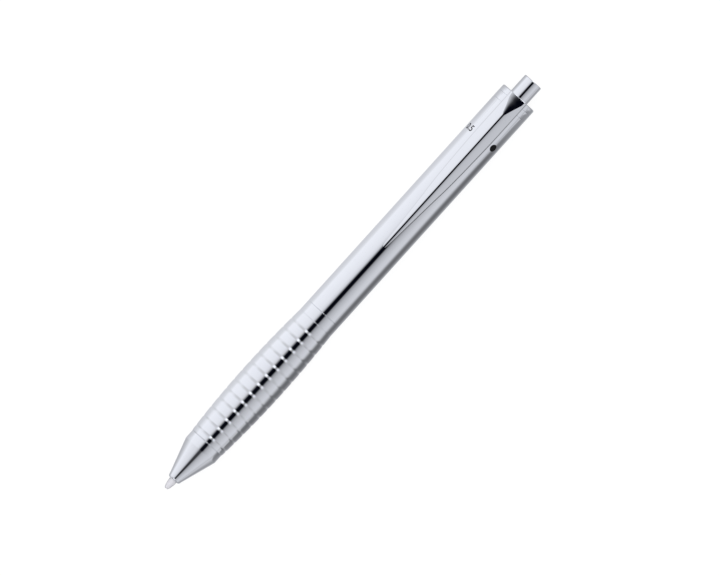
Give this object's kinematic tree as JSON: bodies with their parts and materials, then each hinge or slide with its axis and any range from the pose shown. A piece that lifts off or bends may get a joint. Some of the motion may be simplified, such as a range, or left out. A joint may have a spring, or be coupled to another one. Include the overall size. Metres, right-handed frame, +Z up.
{
  "type": "multi pen",
  "caption": "Slim polished metal pen with a grooved grip, tapered spring clip and a push button that swaps a stylus tip for a ballpoint; spare refills wait inside.",
  "frame": {"origin": "on the surface that the pen lies on, under the middle of its length and on its centre plane", "axes": "+X along the pen towards the push button, +Z up through the clip"},
  "size_m": [0.1398, 0.0118, 0.0132],
  "materials": {
    "polished_shell": "mirror-polished plating",
    "steel": "plain turned or drawn",
    "spring_steel": "bright drawn wire",
    "brass": "plain turned",
    "black_plastic": "moulded, satin",
    "red_plastic": "moulded, satin",
    "green_plastic": "moulded, satin",
    "grey_plastic": "moulded, satin",
    "tip_plastic": "pale, slightly translucent, smooth",
    "graphite": "dull grey-black"
  },
  "bodies": {
    "barrel": {"barrel": "polished_shell", "clip_ring": "polished_shell", "crown": "polished_shell", "slider_guide": "grey_plastic", "guide_cap": "grey_plastic", "button_spring": "spring_steel", "black_spring": "spring_steel", "stylus_spring": "spring_steel", "red_slider": "red_plastic", "red_spring": "spring_steel", "red_tube": "red_plastic", "red_point": "brass", "pencil_slider": "green_plastic", "pencil_spring": "spring_steel", "pencil_tube": "steel", "pencil_nose": "steel", "pencil_lead": "graphite"},
    "front": {"nozzle": "polished_shell", "grip_sleeve": "polished_shell", "centre_band": "polished_shell", "thread_insert": "brass"},
    "clip": {"clip": "polished_shell"},
    "button": {"push_button": "polished_shell", "plunger": "steel", "retaining_clip": "steel"},
    "pendulum": {"pendulum": "brass"},
    "black_slider": {"black_slider": "black_plastic"},
    "black_tube": {"black_tube": "black_plastic"},
    "black_point": {"black_point": "brass"},
    "stylus_slider": {"stylus_slider": "grey_plastic"},
    "stylus_rod": {"stylus_rod": "steel"},
    "stylus_tip": {"stylus_tip": "tip_plastic"}
  },
  "joints": [
    {"name": "front_unscrew", "type": "hinge", "parent": "barrel", "child": "front", "pos_m": [-0.00989, 0, 0.00588], "axis": [1, 0, 0], "range_deg": [0, 1080]},
    {"name": "clip_flex", "type": "hinge", "parent": "barrel", "child": "clip", "pos_m": [0.0617, 0, 0.01108], "axis": [0, 1, 0], "range_deg": [0, 3], "stiffness_Nm_per_rad": 8},
    {"name": "button_press", "type": "slide", "parent": "barrel", "child": "button", "axis": [1, 0, 0], "range_m": [-0.0054, 0], "stiffness_N_per_m": 400, "springref_m": 0.003, "deforming": ["button_spring"]},
    {"name": "pendulum_swing", "type": "hinge", "parent": "button", "child": "pendulum", "pos_m": [0.035, 0, 0.00588], "axis": [1, 0, 0], "range_deg": [0, 360]},
    {"name": "black_slide", "type": "slide", "parent": "barrel", "child": "black_slider", "axis": [1, 0, 0], "range_m": [-0.0054, 0], "deforming": ["black_spring"]},
    {"name": "black_tube_tilt", "type": "hinge", "parent": "black_slider", "child": "black_tube", "pos_m": [0.00243, -0.00184, 0.00772], "axis": [0, -0.7071, -0.7071], "range_deg": [0, 2.41]},
    {"name": "black_point_tilt", "type": "hinge", "parent": "black_tube", "child": "black_point", "pos_m": [-0.05957, -0.00184, 0.00772], "axis": [0, -0.7071, -0.7071], "range_deg": [-16.9, 0]},
    {"name": "stylus_slide", "type": "slide", "parent": "barrel", "child": "stylus_slider", "axis": [1, 0, 0], "range_m": [0, 0.0054], "deforming": ["stylus_spring"]},
    {"name": "stylus_rod_tilt", "type": "hinge", "parent": "stylus_slider", "child": "stylus_rod", "pos_m": [-0.00297, 0.00184, 0.00404], "axis": [0, 0.7071, 0.7071], "range_deg": [-2.41, 0]},
    {"name": "stylus_tip_tilt", "type": "hinge", "parent": "stylus_rod", "child": "stylus_tip", "pos_m": [-0.06492, 0, 0.00588], "axis": [0, 0.7071, 0.7071], "range_deg": [0, 17.84]}
  ],
  "couplings": [
    {"joint": "black_slide", "follows": "button_press", "ratio": 1},
    {"joint": "black_tube_tilt", "follows": "button_press", "rad_per_m": -7.7676},
    {"joint": "black_point_tilt", "follows": "button_press", "rad_per_m": 54.583},
    {"joint": "stylus_slide", "follows": "button_press", "ratio": -1},
    {"joint": "stylus_rod_tilt", "follows": "button_press", "rad_per_m": 7.7676},
    {"joint": "stylus_tip_tilt", "follows": "button_press", "rad_per_m": -57.623}
  ]
}
